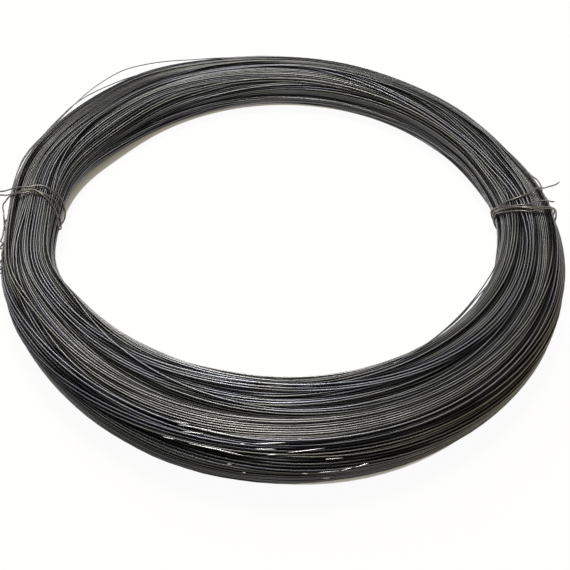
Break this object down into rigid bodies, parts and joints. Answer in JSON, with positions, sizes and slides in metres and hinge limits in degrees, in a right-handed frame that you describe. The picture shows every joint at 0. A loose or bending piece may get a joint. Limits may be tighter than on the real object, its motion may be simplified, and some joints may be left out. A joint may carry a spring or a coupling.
{
  "type": "coil of binding wire",
  "caption": "Ring-shaped coil of annealed steel binding wire, bound with tie wires on two sides, lying flat.",
  "frame": {"origin": "at the middle of the coil's footprint, at the level of the floor it lies on", "axes": "+Z along the bore axis, up from the floor; +X towards the right tie; +Y away from the picture's viewpoint"},
  "size_m": [0.6094, 0.6086, 0.0547],
  "materials": {
    "coil_wire": "black annealed, satin",
    "tie_wire": "black annealed, satin"
  },
  "bodies": {
    "root": {"wire_coil": "coil_wire", "left_tie": "tie_wire", "right_tie": "tie_wire"}
  },
  "joints": []
}
